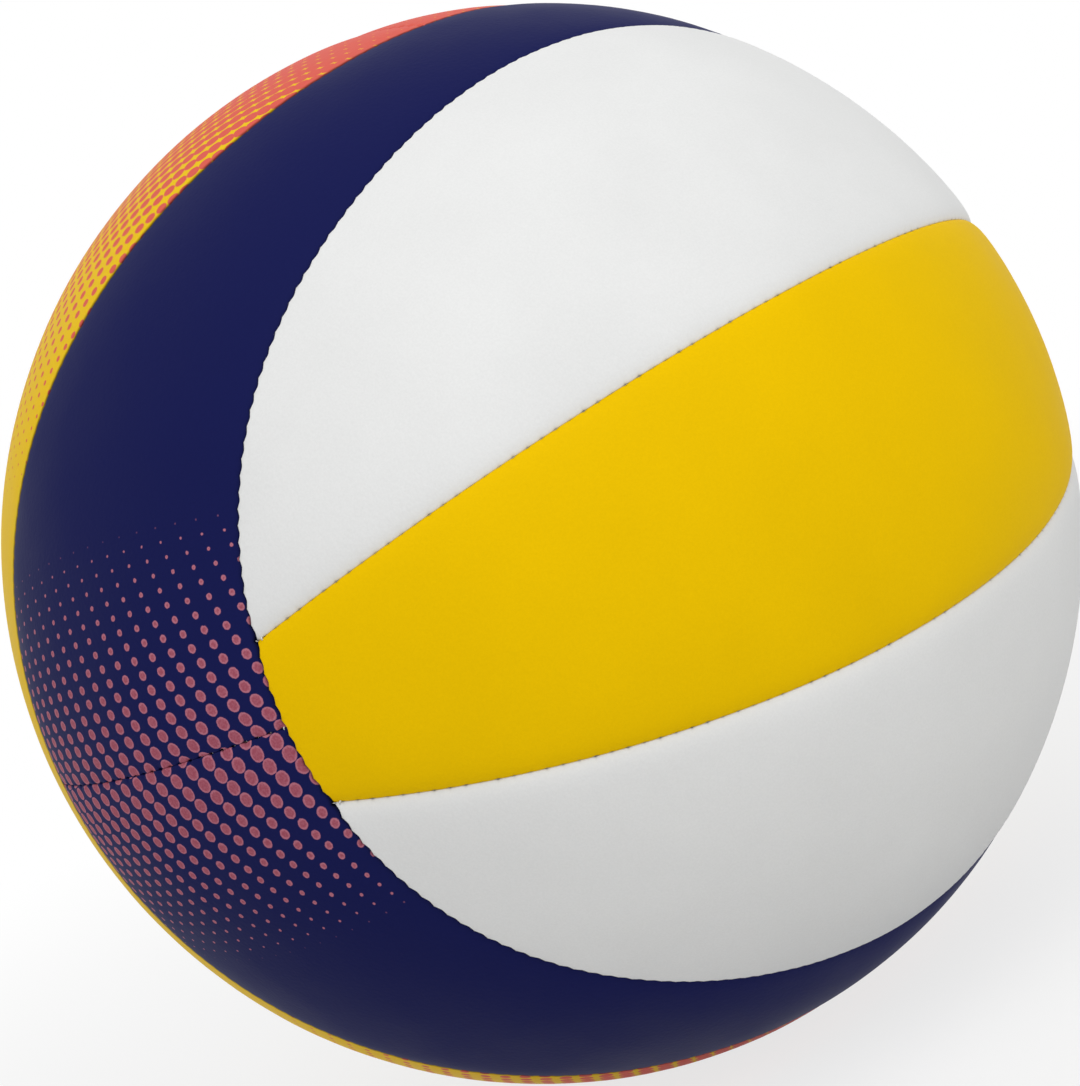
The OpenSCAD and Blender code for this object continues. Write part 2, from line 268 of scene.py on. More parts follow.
def loop_of(sides):
    """Joins the sides of a panel, anticlockwise from outside, into one outline."""
    counts = [len(side[0]) - 1 for side in sides]
    points, phase = [np.concatenate([side[k][:-1] for side in sides]) for k in (0, 1)]
    next_phase = np.concatenate([side[1][1:] for side in sides])
    lean, mark = [np.repeat([float(side[k]) for side in sides], counts) for k in (2, 3)]
    corners = np.cumsum([0] + counts[:-1])
    ahead = np.roll(points, -1, axis=0)
    inward = unit(np.cross(points, ahead - points))
    before = np.roll(inward, 1, axis=0)
    tilt = 1 + np.sum(before * inward, axis=1)[:, None]
    tree = KDTree(len(points))
    for k, point in enumerate(points):
        tree.insert(point, k)
    tree.balance()
    return dict(
        tree=tree, points=points, ahead=ahead, phase=phase, next_phase=next_phase,
        lean=lean, mark=mark, corners=corners, draw=(before + inward) / tilt,
    )


def nearest(points, outline):
    """Distance from each point to the outline, the nearest place on it, its phase and its marks."""
    far = np.full(len(points), np.inf)
    place = np.zeros((len(points), 3))
    phase = np.zeros(len(points))
    index = np.zeros(len(points), int)
    count = len(outline["points"])
    near = [[found[1] for found in outline["tree"].find_n(p, NEAR_COUNT)] for p in points]
    for close in np.array(near).T:
        for k in (close - 1, close):
            k = k % count
            a = outline["points"][k]
            along = outline["ahead"][k] - a
            t = np.sum((points - a) * along, axis=1) / np.sum(along * along, axis=1)
            t = np.clip(t, 0, 1)
            here = a + along * t[:, None]
            gap = np.linalg.norm(points - here, axis=1) * BALL_R
            at = outline["phase"][k] * (1 - t) + outline["next_phase"][k] * t
            better = gap < far
            for kept, found in ((far, gap), (place, here), (phase, at), (index, k)):
                kept[better] = found[better]
    return far, place, phase, outline["lean"][index], outline["mark"][index]


def tension(phase, mark):
    """How hard each stitch pulls: a seeded number near one for each stitch of each seam."""
    by_stitch, by_seam, spread = TENSION_SEED
    mixed = np.sin(np.floor(phase) * by_stitch + mark * by_seam) * spread
    return TENSION_LEAST + TENSION_SPREAD * (mixed - np.floor(mixed))


def at_holes(phase, power):
    """From 0 between stitches to 1 at a needle hole. A higher power keeps it closer to the hole."""
    return (0.5 - 0.5 * np.cos(2 * math.pi * phase)) ** power


def pull(phase, mark):
    """From 0 between stitches to about 1 at a needle hole."""
    return tension(phase, mark) * at_holes(phase, power=3)


def prick(phase, mark):
    """Up to 1 at a needle hole, by how hard its stitch pulls, and 0 a little away from it."""
    return (tension(phase, mark) - TENSION_LEAST) / TENSION_SPREAD * at_holes(phase, power=10)


def cusp(phase, mark):
    """From 0 between stitches to a point of about 1 at a needle hole."""
    return tension(phase, mark) * (1 - np.abs(np.cos(math.pi * phase)))


def from_strip_seam(points):
    """Distance of each place on a cap from the nearer of its two strip seams."""
    square = np.array([0.0, float(sind(SEAM_TILT)), float(cosd(SEAM_TILT))])
    rises = [np.arcsin(np.clip(side(points) @ square, -1, 1)) for side in (same, half_turned)]
    return np.minimum(*[np.abs(rise - math.asin(SEAM_RISE)) for rise in rises]) * BALL_R


def from_cap_edge(points):
    """Distance of each place on a belt from the edge of the cap."""
    polar = np.degrees(np.arccos(np.clip(-points[:, 1], -1, 1)))
    turn = np.degrees(np.arctan2(points[:, 2], points[:, 0]))
    return np.radians(np.maximum(polar - cap_edge(turn), 0)) * BALL_R


def shaped(points, outline, hole_r):
    """Moves points of the ball to a sewn panel's surface, and gives the painted shade along the
    seam there.
    """
    gap, place, phase, lean, mark = nearest(points, outline)
    past = np.maximum(gap - HALF_GAP, 0)
    roll = np.clip(1 - past / ROLL_R, 0, 1)
    seam = mark.astype(int)
    hold = pull(phase, mark) * SEAM_PULLS[seam]
    depth = SEAM_ROLLS[seam] * (1 - np.sqrt(1 - roll**2))
    depth += PUCKER * hold * np.exp(-past / PUCKER_REACH)
    if STRIP_MARK in outline["mark"]:
        away = from_strip_seam(points)
        depth += SAG * np.exp(-away / SAG_REACH) + STRIP_CROWN * np.exp(-away / STRIP_CROWN_REACH)
    else:
        depth += SAG * np.exp(-past / SAG_REACH)
        depth += BELT_DIP * np.exp(-from_cap_edge(points) / BELT_DIP_REACH)
    inward = unit(points - place)
    aside = NOTCH * hold * np.exp(-past / PUCKER_REACH)
    aside += lean * LEAN * cusp(phase, mark) * np.exp(-past / LEAN_REACH)
    if hole_r:
        out = np.linalg.norm(points[:, [0, 2]], axis=1) * BALL_R - hole_r
        rim = np.clip(1 - out / HOLE_ROLL, 0, 1)
        depth += HOLE_ROLL * (1 - np.sqrt(1 - rim**2))
    # Painted shade, multiplied into the colour: a faint line along every seam, a darker one on the
    # belts' edges, and shade in each needle hole by how hard its stitch pulls.
    dark = EDGE_SHADE * np.exp(-past / EDGE_SHADE_REACH)
    belt_edge_here = (seam == BELT_MARK) | (lean > 0)
    dark += BELT_SHADE * belt_edge_here * np.exp(-((past / BELT_SHADE_REACH) ** 2))
    dark += HOLE_SHADE * prick(phase, mark) * np.exp(-past / HOLE_REACH)
    dark = np.minimum(dark, DARKEST)
    return unit(points + inward * (aside / BALL_R)[:, None]) * (BALL_R - depth)[:, None], dark


def flat_cap(points):
    """A cap panel laid flat about the front pole, in millimetres."""
    polar = np.arccos(-points[:, 1])
    turn = np.arctan2(points[:, 2], points[:, 0])
    return np.stack([polar * np.cos(turn), polar * np.sin(turn)], -1) * BALL_R / MM


def round_cap(flat):
    polar = np.degrees(np.linalg.norm(flat, axis=1) * MM / BALL_R)
    return toward(polar, np.degrees(np.arctan2(flat[:, 1], flat[:, 0])))


def flat_belt(points):
    """A belt panel laid flat by its two angles, in millimetres."""
    polar = np.arccos(-points[:, 1])
    turn = np.arctan2(np.abs(points[:, 2]), points[:, 0])
    return np.stack([turn, -polar], -1) * BALL_R / MM


def round_belt(flat):
    angles = np.degrees(flat * MM / BALL_R)
    return toward(-angles[:, 1], angles[:, 0])


def field(flat_outline, step, to_ball, outline, keep_off, hole_r):
    """Points in staggered rows over the inside of a panel."""
    low, high = flat_outline.min(axis=0), flat_outline.max(axis=0)
    rows = []
    for row, y in enumerate(np.arange(low[1], high[1], step / MM * FIELD_ROW)):
        x = np.arange(low[0] + (row % 2) * step / MM / 2, high[0], step / MM)
        rows.append(np.stack([x, np.full(len(x), y)], -1))
    flat = np.concatenate(rows)
    ahead = np.roll(flat_outline, -1, axis=0)
    inside = np.zeros(len(flat), bool)
    for a, b in zip(flat_outline, ahead):
        crosses = (a[1] > flat[:, 1]) != (b[1] > flat[:, 1])
        if crosses.any():
            x = a[0] + (flat[:, 1] - a[1]) / (b[1] - a[1]) * (b[0] - a[0])
            inside ^= crosses & (flat[:, 0] < x)
    points = to_ball(flat[inside])
    clear = nearest(points, outline)[0] > keep_off
    if hole_r:
        clear &= np.linalg.norm(points[:, [0, 2]], axis=1) * BALL_R > hole_r + step
    return points[clear]


def triangles(flat, loops, hole_r):
    """Fills the flat outline with triangles on the given points."""
    edges = [(loop[k - 1], loop[k]) for loop in loops for k in range(len(loop))]
    filled = delaunay_2d_cdt([Vector(p) for p in flat], edges, [], FILL_INSIDE, MERGE_WITHIN)
    faces = []
    for face in filled[2]:
        face = [filled[3][k][0] for k in face]
        middle = sum(flat[k] for k in face) / 3
        if not hole_r or np.linalg.norm(middle) * MM > hole_r:
            faces.append(face)
    return faces


def ring(radius):
    """A ring of points about the front pole, at a distance from its axis."""
    turn = np.arange(ROUND_STEPS) * 360.0 / ROUND_STEPS
    return toward(np.degrees(np.arcsin(radius / BALL_R)) + 0 * turn, turn)


def with_hole(rows, rim_count, hole_r, rings):
    """The rows with the rings round a hole after them, and the loops that bound what they fill."""
    loops = [list(range(rim_count))]
    if hole_r:
        start = sum(len(row) for row in rows)
        loops.append(list(range(start, start + ROUND_STEPS)))
        rows = rows + [ring(hole_r + past * MM) for past in rings]
    return np.concatenate(rows), loops


def panel_mesh(sides, to_flat, to_ball, hole_r=0.0):
    """Vertices, faces and the painted shade of the seam for one panel of the front half."""
    outline = loop_of(sides)
    base = outline["points"]
    draw = outline["draw"]
    is_corner = np.isin(np.arange(len(base)), outline["corners"])
    outer = []
    for past, step in ROW_STEPS:
        inset = HALF_GAP + past
        row = unit(base + draw * inset / BALL_R)
        gap = nearest(row, outline)[0]
        keep = gap > inset * OFFSET_SHARE
        if past == 0:
            keep |= is_corner
            rim = row[keep]
        else:
            keep &= ~is_corner & (np.arange(len(base)) % step == 0)
        outer.append(row[keep])
    keep_off = HALF_GAP + ROW_STEPS[-1][0] + FIELD_CLEAR
    flat_line = to_flat(base)
    outer.append(field(flat_line, FIELD_STEP, to_ball, outline, keep_off, hole_r))
    outer, loops = with_hole(outer, len(rim), hole_r, HOLE_RINGS)
    faces = triangles(to_flat(outer), loops, hole_r)
    shell, dark = shaped(outer, outline, hole_r)

    inner_off = HALF_GAP + INNER_EDGE
    row = unit(base + draw * inner_off / BALL_R)
    keep = nearest(row, outline)[0] > inner_off * OFFSET_SHARE
    keep &= ~is_corner & (np.arange(len(base)) % INNER_EVERY == 0)
    inner = [rim, row[keep]]
    inner.append(field(flat_line, INNER_STEP, to_ball, outline, inner_off + INNER_CLEAR, hole_r))
    inner, inner_loops = with_hole(inner, len(rim), hole_r, HOLE_RINGS[:1])
    offset = len(shell)
    under = triangles(to_flat(inner), inner_loops, hole_r)
    faces += [[offset + k for k in reversed(face)] for face in under]
    backing = inner * (BALL_R - COVER_T)
    _, place, phase, lean, mark = nearest(rim, outline)
    aside = lean * FOOT_LEAN * LEAN * cusp(phase, mark) - (HALF_GAP - FOOT_GAP)
    foot = unit(rim + unit(rim - place) * (aside / BALL_R)[:, None])
    backing[: len(rim)] = foot * (BALL_R - SKIRT_DEPTH)
    for top, bottom in zip(loops, inner_loops):
        for k in range(len(top)):
            faces.append([top[k - 1], offset + bottom[k - 1], offset + bottom[k], top[k]])
    if hole_r:
        for k in range(-ROUND_STEPS, 0):
            faces[k].reverse()
    points = np.concatenate([shell, backing])
    return points, faces, np.concatenate([dark, np.full(len(backing), EDGE_SHADE)])


# A blown-up panel is slightly uneven. Each line is how strong an unevenness is, then the two waves
# that it is made of, each by its turns along X, Y and Z, and its start.
SWELL = 0.035 * MM
SWELL_MIDDLE = 1.3
SWELL_WAVES = (
    (1.0, (9.1, 4.3, 0.0), 1.0, (0.0, -3.1, 11.7), 0.0),
    (1.0, (0.0, 17.3, 6.2), 0.4, (13.9, 0.0, 0.0), 2.0),
    (0.5, (31.0, 0.0, -22.0), 0.0, (0.0, 27.0, 14.0), 0.0),
)


def swollen(points):
    """Brings the surface in by hundredths of a millimetre, more in some places than others."""
    way = points / BALL_R
    depth = np.full(len(points), SWELL_MIDDLE)
    for strength, first, first_start, second, second_start in SWELL_WAVES:
        depth += strength * np.sin(way @ first + first_start) * np.sin(way @ second + second_start)
    return points * (1 - SWELL * depth / BALL_R)[:, None]


def mesh_object(name, points, faces, material, replaced):
    """A smooth mesh that rides with the ball and stands for the solids that it replaces."""
    data = bpy.data.meshes.new(name)
    data.from_pydata([tuple(p) for p in points], [], [tuple(f) for f in faces])
    data.validate()
    data.update()
    data.shade_smooth()
    data.materials.append(material)
    obj = bpy.data.objects.new(name, data)
    bpy.context.scene.collection.objects.link(obj)
    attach(obj, "root")
    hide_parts(*replaced)
    return obj


# The materials are built from nodes. A value that is a socket is linked, and any other value is
# written on the input.
def feed(tree, socket, value):
    if isinstance(value, bpy.types.NodeSocket):
        tree.links.new(value, socket)
    elif value is not None:
        socket.default_value = value


def node(tree, kind, **settings):
    made = tree.nodes.new(kind)
    for key, value in settings.items():
        setattr(made, key, value)
    return made


def fill(tree, made, **values):
    """Fills the inputs of a node. Their names have _ for a space."""
    for key, value in values.items():
        feed(tree, made.inputs[key.replace("_", " ")], value)
    return made


def maths(tree, operation, *values):
    made = node(tree, "ShaderNodeMath", operation=operation)
    for socket, value in zip(made.inputs, values):
        feed(tree, socket, value)
    return made.outputs[0]


def vector_maths(tree, operation, *values):
    made = node(tree, "ShaderNodeVectorMath", operation=operation)
    for socket, value in zip(made.inputs, values):
        feed(tree, socket, value)
    return made.outputs["Value" if operation in ("DOT_PRODUCT", "LENGTH") else "Vector"]


def ramp(tree, value, low, high, to_low=0.0, to_high=1.0, smooth=False):
    """Maps low..high to to_low..to_high, and holds the ends."""
    way = "SMOOTHSTEP" if smooth else "LINEAR"
    made = node(tree, "ShaderNodeMapRange", clamp=True, interpolation_type=way)
    fill(tree, made, Value=value, From_Min=low, From_Max=high, To_Min=to_low, To_Max=to_high)
    return made.outputs["Result"]


def blend(tree, share, first, second, how="MIX"):
    """Mixes two colours, whose sockets on a Mix node are 6 and 7, and the result 2."""
    made = node(tree, "ShaderNodeMix", data_type="RGBA", blend_type=how)
    feed(tree, made.inputs[0], share)
    feed(tree, made.inputs[6], first)
    feed(tree, made.inputs[7], second)
    return made.outputs[2]


def new_group(name, inputs, outputs):
    """An empty node group. Inputs and outputs are (name, socket type) pairs."""
    group = bpy.data.node_groups.new(name, "ShaderNodeTree")
    for way, sockets in (("INPUT", inputs), ("OUTPUT", outputs)):
        for label, kind in sockets:
            group.interface.new_socket(name=label, in_out=way, socket_type=kind)
    entry = group.nodes.new("NodeGroupInput")
    leave = group.nodes.new("NodeGroupOutput")
    return group, entry.outputs, leave.inputs


def use_group(tree, group, **values):
    return fill(tree, node(tree, "ShaderNodeGroup", node_tree=group), **values).outputs


def new_material(name):
    """A new material, its nodes and its shader."""
    material = bpy.data.materials.new(name)
    material.use_nodes = True
    return material, material.node_tree, material.node_tree.nodes["Principled BSDF"]


def own_position(tree):
    return node(tree, "ShaderNodeTexCoord").outputs["Object"]


def texture(tree, kind, position, scale, **settings):
    """A pattern over the piece. Its scale is about how many there are to the metre."""
    return fill(tree, node(tree, "ShaderNodeTex" + kind, **settings), Vector=position, Scale=scale)


def noise(tree, position, scale, detail):
    return fill(tree, texture(tree, "Noise", position, scale), Detail=detail).outputs[0]


def raised(tree, shader, height, strength, depth):
    """Raises the surface by a pattern of heights."""
    bump = node(tree, "ShaderNodeBump")
    fill(tree, bump, Strength=strength, Distance=depth, Height=height)
    fill(tree, shader, Normal=bump.outputs[0])


def shaded(tree, colour, shade):
    """A colour made darker by a shade."""
    grey = node(tree, "ShaderNodeCombineColor")
    for socket in grey.inputs:
        feed(tree, socket, shade)
    return blend(tree, 1.0, colour, grey.outputs[0], "MULTIPLY")


FLOAT = "NodeSocketFloat"
VECTOR = "NodeSocketVector"

# Leather grain: soft pebbles under a millimetre across, with finer tooth on them,
# and a slow change in tone and gloss over centimetres.
PEBBLE_HEIGHT = 1.1
TOOTH_HEIGHT = 0.45
GRAIN, g_in, g_out = new_group(
    "leather grain", [("Position", VECTOR)], [("Height", FLOAT), ("Tone", FLOAT), ("Fine", FLOAT)]
)
pebbles = texture(GRAIN, "Voronoi", g_in["Position"], scale=1150.0, feature="SMOOTH_F1")
fill(GRAIN, pebbles, Smoothness=0.6)
tooth = noise(GRAIN, g_in["Position"], scale=2600.0, detail=3.0)
pebble_height = maths(GRAIN, "MULTIPLY", pebbles.outputs["Distance"], PEBBLE_HEIGHT)
feed(GRAIN, g_out["Height"], maths(GRAIN, "MULTIPLY_ADD", tooth, TOOTH_HEIGHT, pebble_height))
feed(GRAIN, g_out["Tone"], noise(GRAIN, g_in["Position"], scale=42.0, detail=4.0))
feed(GRAIN, g_out["Fine"], tooth)

# Halftone print: rows of dots on a slanted lattice, drawn by two counts that grow along it. A dot
# is where both counts are whole, and is a little longer across the belt, where the cover stretches.
# Angles are in degrees: the polar one from 83 up, and the turn from one end seam to the other.
DOT_STRETCH = 1.08
POLAR_FROM = 83.0
ANGLES, a_in, a_out = new_group(
    "belt angles",
    [(label, VECTOR) for label in ("Position", "Pole", "End", "Middle")],
    [(label, FLOAT) for label in ("Polar", "Turn", "Sine")],
)
way = vector_maths(ANGLES, "NORMALIZE", a_in["Position"])
polar = maths(ANGLES, "ARCCOSINE", vector_maths(ANGLES, "DOT_PRODUCT", way, a_in["Pole"]))
toward_end = vector_maths(ANGLES, "DOT_PRODUCT", way, a_in["End"])
toward_middle = vector_maths(ANGLES, "DOT_PRODUCT", way, a_in["Middle"])
turn = maths(ANGLES, "ARCTAN2", toward_middle, toward_end)
feed(ANGLES, a_out["Polar"], maths(ANGLES, "SUBTRACT", maths(ANGLES, "DEGREES", polar), POLAR_FROM))
feed(ANGLES, a_out["Turn"], maths(ANGLES, "DEGREES", turn))
feed(ANGLES, a_out["Sine"], maths(ANGLES, "SINE", polar))

SLOPES = ("First By Polar", "First By Turn", "Second By Polar", "Second By Turn")
HALFTONE, h_in, h_out = new_group(
    "halftone print",
    [(label, FLOAT) for label in ("First", "Second", "Sine", *SLOPES)],
    [("Distance", FLOAT)],
)
counts = [h_in["First"], h_in["Second"]]
off = [maths(HALFTONE, "SUBTRACT", count, maths(HALFTONE, "ROUND", count)) for count in counts]


def two_products(tree, a, b, c, d):
    return maths(tree, "SUBTRACT", maths(tree, "MULTIPLY", a, b), maths(tree, "MULTIPLY", c, d))


first_polar, first_turn, second_polar, second_turn = [h_in[label] for label in SLOPES]
cell = two_products(HALFTONE, first_polar, second_turn, first_turn, second_polar)
by_polar = two_products(HALFTONE, second_turn, off[0], first_turn, off[1])
by_turn = two_products(HALFTONE, first_polar, off[1], second_polar, off[0])
stretch = maths(HALFTONE, "MULTIPLY", h_in["Sine"], DOT_STRETCH)
by_turn = maths(HALFTONE, "MULTIPLY", by_turn, stretch)
squares = maths(HALFTONE, "MULTIPLY", by_turn, by_turn)
squares = maths(HALFTONE, "MULTIPLY_ADD", by_polar, by_polar, squares)
root = maths(HALFTONE, "SQRT", squares)
angle = maths(HALFTONE, "DIVIDE", root, maths(HALFTONE, "ABSOLUTE", cell))
feed(HALFTONE, h_out["Distance"], maths(HALFTONE, "MULTIPLY", angle, math.radians(1) * BALL_R / MM))


def lattice_count(tree, polar, turn, start, by_polar, by_turn, polar_2=0.0, both=0.0, turn_2=0.0):
    """start + by_polar p + by_turn t + polar_2 pp + both pt + turn_2 tt."""
    along = maths(tree, "MULTIPLY_ADD", polar, polar_2, by_polar)
    along = maths(tree, "MULTIPLY_ADD", turn, both, along)
    across = maths(tree, "MULTIPLY_ADD", turn, turn_2, by_turn)
    total = maths(tree, "MULTIPLY_ADD", turn, across, start)
    return maths(tree, "MULTIPLY_ADD", polar, along, total)


# Colours of the covers, as linear light, and their finish. A SPAN is the part of a pattern that
# its change runs over. Lengths of the print are in millimetres on the ball.
WHITE = (0.800, 0.805, 0.800, 1)
YELLOW = (0.860, 0.541, 0.0004, 1)
NAVY = (0.0084, 0.0110, 0.0790, 1)
CORAL_ON_NAVY = (0.345, 0.080, 0.118, 1)
CORAL_ON_NAVY_RIM = (0.480, 0.165, 0.225, 1)
CORAL = (0.720, 0.110, 0.080, 1)
BELT_YELLOW = (0.860, 0.555, 0.004, 1)
TONE_SPAN = (0.3, 0.7)
TONE_SHADES = (0.975, 1.015)
ROUGHNESSES = (0.48, 0.58)
SPECK_SPAN = (0.35, 0.65)
SPECK_SHADES = (0.97, 1.0)
DOT_EDGE = 0.07
DOT_ROUGH = 0.3
DOT_LEAST = (0.13, 0.24)


def finish_cover(name, paint, gloss):
    """The synthetic leather of one panel. paint(tree, position, grain) gives its colour."""
    material, tree, shader = new_material(name)
    position = own_position(tree)
    grain = use_group(tree, GRAIN, Position=position)
    colour = paint(tree, position, grain)
    # The seam's painted shade darkens the colour along the seams and at the needle holes.
    dark = node(tree, "ShaderNodeAttribute", attribute_name="painted_seam_shade").outputs["Fac"]
    groove = maths(tree, "SUBTRACT", 1.0, dark)
    tone = ramp(tree, grain["Tone"], *TONE_SPAN, *TONE_SHADES)
    rough = ramp(tree, grain["Tone"], *TONE_SPAN, *ROUGHNESSES)
    colour = shaded(tree, colour, maths(tree, "MULTIPLY", groove, tone))
    fill(tree, shader, Base_Color=colour, Roughness=rough, Specular_IOR_Level=gloss)
    raised(tree, shader, grain["Height"], strength=0.5, depth=0.05 * MM)
    return material


def plain(colour):
    def paint(tree, position, grain):
        return shaded(tree, colour, ramp(tree, grain["Fine"], *SPECK_SPAN, *SPECK_SHADES))

    return paint


def printed(tree, size, distance, grain):
    """How far a place lies inside its dot, and the ink there. The grain roughens the dot's edge."""
    smooth = maths(tree, "SUBTRACT", distance, DOT_ROUGH / 2)
    rough = maths(tree, "MULTIPLY_ADD", grain["Fine"], DOT_ROUGH, smooth)
    over = maths(tree, "SUBTRACT", size, rough)
    inside = ramp(tree, over, -DOT_EDGE, DOT_EDGE)
    return over, maths(tree, "MULTIPLY", inside, ramp(tree, size, *DOT_LEAST))


# The navy belts' counts near each end seam, with turns measured from that seam: first the end at
# half a turn, then the end where the turn starts. The slopes are the mean of both ends. A FADE is
# where the dots vanish, in degrees from the end seam, and the radius that they grow to at the seam.
NAVY_FAR = ((2.6345, 0.37444, -0.15089, -0.00083, 0.00063, 0.00074),
            (-13.1674, -0.04223, 0.67167, 0.0011, 0.00233, 0.00077))
NAVY_NEAR = ((-3.6155, 0.34499, -0.21023, -0.00037, -0.00312, -0.00172),
             (13.1598, 0.09052, 0.64287, -0.00067, 0.00405, -0.00222))
NAVY_SLOPES = (0.380, -0.158, 0.0125, 0.6888)
NAVY_FAR_FADE = (24.8, 1.4)
NAVY_NEAR_FADE = (24.0, 1.7)
NAVY_DOT_R = 1.4
RIM_SPAN = (0.46, 0.16)
RIM_PALE = 0.8
INK_SPAN = (0.42, 0.62)
INK_PALE = 0.4
CORAL_COUNTS = ((20.8116, 0.43791, -0.49662), (17.9452, -0.31455, -0.37722))
CORAL_SLOPES = CORAL_COUNTS[0][1:] + CORAL_COUNTS[1][1:]
CORAL_FADES = ((63.0, 2.7), (72.0, 2.45))


def dots(tree, first, second, sine, slopes):
    """Distance from the middle of the nearest dot, in millimetres."""
    slopes = dict(zip(SLOPES, slopes))
    return use_group(tree, HALFTONE, First=first, Second=second, Sine=sine, **slopes)["Distance"]


def belt_angles(tree, position, axes):
    return use_group(tree, ANGLES, Position=position, Pole=axes[0], End=axes[1], Middle=axes[2])


def faded(tree, away, fade):
    """The radius of the dots at a number of degrees from the end seam."""
    return ramp(tree, away, fade[0], 0.0, 0.0, fade[1])


def navy_print(axes):
    """Coral dots on navy, shrinking away from the end seams."""

    def paint(tree, position, grain):
        angles = belt_angles(tree, position, axes)
        polar, turn = angles["Polar"], angles["Turn"]
        far = maths(tree, "SUBTRACT", 180.0, turn)
        near = maths(tree, "MULTIPLY", turn, -1.0)
        at_near = maths(tree, "LESS_THAN", turn, 90.0)
        counts = []
        for far_terms, near_terms in zip(NAVY_FAR, NAVY_NEAR):
            far_count = lattice_count(tree, polar, far, *far_terms)
            near_count = lattice_count(tree, polar, near, *near_terms)
            counts.append(ramp(tree, at_near, 0.0, 1.0, far_count, near_count))
        distance = dots(tree, counts[0], counts[1], angles["Sine"], NAVY_SLOPES)
        sizes = faded(tree, far, NAVY_FAR_FADE), faded(tree, turn, NAVY_NEAR_FADE)
        size = maths(tree, "MINIMUM", maths(tree, "MAXIMUM", *sizes), NAVY_DOT_R)
        over, inked = printed(tree, size, distance, grain)
        rim = ramp(tree, over, *RIM_SPAN, 0.0, RIM_PALE)
        pale = maths(tree, "MULTIPLY_ADD", ramp(tree, grain["Fine"], *INK_SPAN), INK_PALE, rim)
        ink = blend(tree, maths(tree, "MINIMUM", pale, 1.0), CORAL_ON_NAVY, CORAL_ON_NAVY_RIM)
        return blend(tree, inked, plain(NAVY)(tree, position, grain), ink)

    return paint


def coral_print(axes):
    """Coral dots on yellow, growing towards the end seams until they meet and cover it."""

    def paint(tree, position, grain):
        angles = belt_angles(tree, position, axes)
        far = maths(tree, "SUBTRACT", 180.0, angles["Turn"])
        away = maths(tree, "MINIMUM", far, angles["Turn"])
        counts = [lattice_count(tree, angles["Polar"], far, *terms) for terms in CORAL_COUNTS]
        distance = dots(tree, counts[0], counts[1], angles["Sine"], CORAL_SLOPES)
        size = maths(tree, "MINIMUM", *[faded(tree, away, fade) for fade in CORAL_FADES])
        inked = printed(tree, size, distance, grain)[1]
        return blend(tree, inked, plain(BELT_YELLOW)(tree, position, grain), CORAL)

    return paint


# The outlines of the panels run anticlockwise from outside. Every side is a part of one of the
# seams, and three outlines, turned four ways, close the ball.
far_corner = 180.0 - CORNER_AT


def cap_side(low, high, lean):
    return side_of(cap_curve, carried_on(CAP_STEPS), low, high, lean, CAP_MARK)


upper_strip_back = side_of(strip_curve, STRIP_STEPS, STRIP_HALF, -STRIP_HALF, 0, STRIP_MARK)
MIDDLE_SIDES = [
    cap_side(-CORNER_AT, CORNER_AT, -1),
    upper_strip_back,
    cap_side(far_corner, 360.0 - far_corner, -1),
    moved(half_turned, upper_strip_back),
]
SIDE_SIDES = [
    side_of(strip_curve, STRIP_STEPS, -STRIP_HALF, STRIP_HALF, 0, STRIP_MARK),
    cap_side(CORNER_AT, far_corner, -1),
]
end_low = float(cap_edge(0.0))
end_high = float(belt_edge(0.0))
BELT_SIDES = [
    side_of(belt_curve, BELT_STEPS, 0.0, 180.0, 0, BELT_MARK),
    moved(half_turned, side_of(end_curve, END_STEPS, end_high, end_low, 0, END_MARK)),
    cap_side(180.0, 0.0, 1),
    side_of(end_curve, END_STEPS, end_low, end_high, 0, END_MARK),
]
MIDDLE = panel_mesh(MIDDLE_SIDES, flat_cap, round_cap)
VALVE_MIDDLE = panel_mesh(MIDDLE_SIDES, flat_cap, round_cap, NECK_D / 2 + NECK_CLEAR)
SIDE = panel_mesh(SIDE_SIDES, flat_cap, round_cap)
BELT = panel_mesh(BELT_SIDES, flat_belt, round_belt)


def back_turned(points):
    return to_back(half_turned(points))


def belt_axes(turn):
    """The belt's pole, end and middle after a turn."""
    front = np.array([[0.0, -1.0, 0.0], [1.0, 0.0, 0.0], [0.0, 0.0, 1.0]])
    return [tuple(float(v) for v in axis) for axis in turn(front)]


def navy_cover(name, turn):
    return finish_cover(name, navy_print(belt_axes(turn)), gloss=0.029), "cover_navy"


def coral_cover(name, turn):
    return finish_cover(name, coral_print(belt_axes(turn)), gloss=0.05), "cover_coral_yellow"


# Each cover is a mesh turned into its place, with its material and the name of that material's
# slot, which nothing uses.
white_cover = finish_cover("cover white", plain(WHITE), gloss=0.1), "cover_white"
yellow_cover = finish_cover("cover yellow", plain(YELLOW), gloss=0.02), "cover_yellow"
COVERS = (
    ("front_middle", MIDDLE, same, yellow_cover),
    ("front_upper", SIDE, same, white_cover),
    ("front_lower", SIDE, half_turned, white_cover),
    ("front_belt_upper", BELT, same, navy_cover("cover navy upper", same)),
    ("front_belt_lower", BELT, half_turned, navy_cover("cover navy lower", half_turned)),
    ("back_middle", VALVE_MIDDLE, to_back, yellow_cover),
    ("back_right", SIDE, to_back, white_cover),
    ("back_left", SIDE, back_turned, white_cover),
    ("back_belt_right", BELT, to_back, coral_cover("cover coral right", to_back)),
    ("back_belt_left", BELT, back_turned, coral_cover("cover coral left", back_turned)),
)
for name, (points, faces, dark), turned, (material, slot_name) in COVERS:
    name = "cover_" + name
    points = swollen(turned(points))
    cover = mesh_object(name + "_leather", points, faces, material, [name])
    cover.data.attributes.new("painted_seam_shade", "FLOAT", "POINT").data.foreach_set("value", dark)

